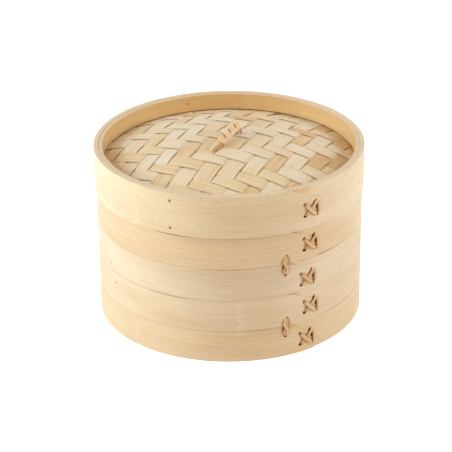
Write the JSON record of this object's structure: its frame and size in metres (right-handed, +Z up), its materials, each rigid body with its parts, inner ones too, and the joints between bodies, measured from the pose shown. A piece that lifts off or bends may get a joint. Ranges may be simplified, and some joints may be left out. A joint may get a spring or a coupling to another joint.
{
  "type": "bamboo steamer basket",
  "caption": "Round stacked steamer of bent bamboo hoops with slatted bases, cross-laced bands and a domed woven lid with a small bound handle.",
  "frame": {"origin": "middle of the circle that the lower basket stands on", "axes": "+Z up through the handle; -Y is the front; the laced ends of the bands are at the front, to the right of the middle (+X)"},
  "size_m": [0.2542, 0.254, 0.1828],
  "materials": {
    "outer_bamboo": "planed bamboo, satin, fine lengthwise fibres",
    "inner_bamboo": "split bamboo, matt, warmer than the outside",
    "slats": "split bamboo, matt",
    "weave": "thin flat bamboo strips, satin",
    "rattan": "split rattan, satin",
    "pegs": "bamboo sticks, end grain"
  },
  "bodies": {
    "lower_basket": {"lower_bottom_band": "outer_bamboo", "lower_top_band": "outer_bamboo", "lower_bottom_lacing": "rattan", "lower_top_lacing": "rattan", "lower_seam_tie_1": "rattan", "lower_seam_tie_2": "rattan", "lower_peg_1": "pegs", "lower_peg_2": "pegs", "lower_peg_3": "pegs", "lower_inner_hoop": "inner_bamboo", "lower_base_ring": "inner_bamboo", "lower_cross_bar_1": "slats", "lower_cross_bar_2": "slats", "lower_slat_1": "slats", "lower_slat_2": "slats", "lower_slat_3": "slats", "lower_slat_4": "slats", "lower_slat_5": "slats", "lower_slat_6": "slats", "lower_slat_7": "slats", "lower_slat_8": "slats", "lower_slat_9": "slats"},
    "upper_basket": {"upper_bottom_band": "outer_bamboo", "upper_top_band": "outer_bamboo", "upper_bottom_lacing": "rattan", "upper_top_lacing": "rattan", "upper_seam_tie_1": "rattan", "upper_seam_tie_2": "rattan", "upper_peg_1": "pegs", "upper_peg_2": "pegs", "upper_peg_3": "pegs", "upper_inner_hoop": "inner_bamboo", "upper_base_ring": "inner_bamboo", "upper_cross_bar_1": "slats", "upper_cross_bar_2": "slats", "upper_slat_1": "slats", "upper_slat_2": "slats", "upper_slat_3": "slats", "upper_slat_4": "slats", "upper_slat_5": "slats", "upper_slat_6": "slats", "upper_slat_7": "slats", "upper_slat_8": "slats", "upper_slat_9": "slats"},
    "lid": {"lid_outer_hoop": "outer_bamboo", "lid_lacing": "rattan", "lid_peg_1": "pegs", "lid_peg_2": "pegs", "lid_peg_3": "pegs", "lid_peg_4": "pegs", "lid_peg_5": "pegs", "lid_peg_6": "pegs", "lid_rim_liner": "inner_bamboo", "lid_lower_liner": "inner_bamboo", "lid_woven_top": "weave", "lid_woven_lining": "weave", "lid_handle_core": "rattan", "lid_handle_binding": "rattan", "lid_handle_key": "pegs"}
  },
  "joints": [
    {"name": "upper_basket_lift", "type": "slide", "parent": "lower_basket", "child": "upper_basket", "axis": [0, 0, 1], "range_m": [0, 0.1]},
    {"name": "lid_lift", "type": "slide", "parent": "upper_basket", "child": "lid", "axis": [0, 0, 1], "range_m": [0, 0.1]}
  ]
}
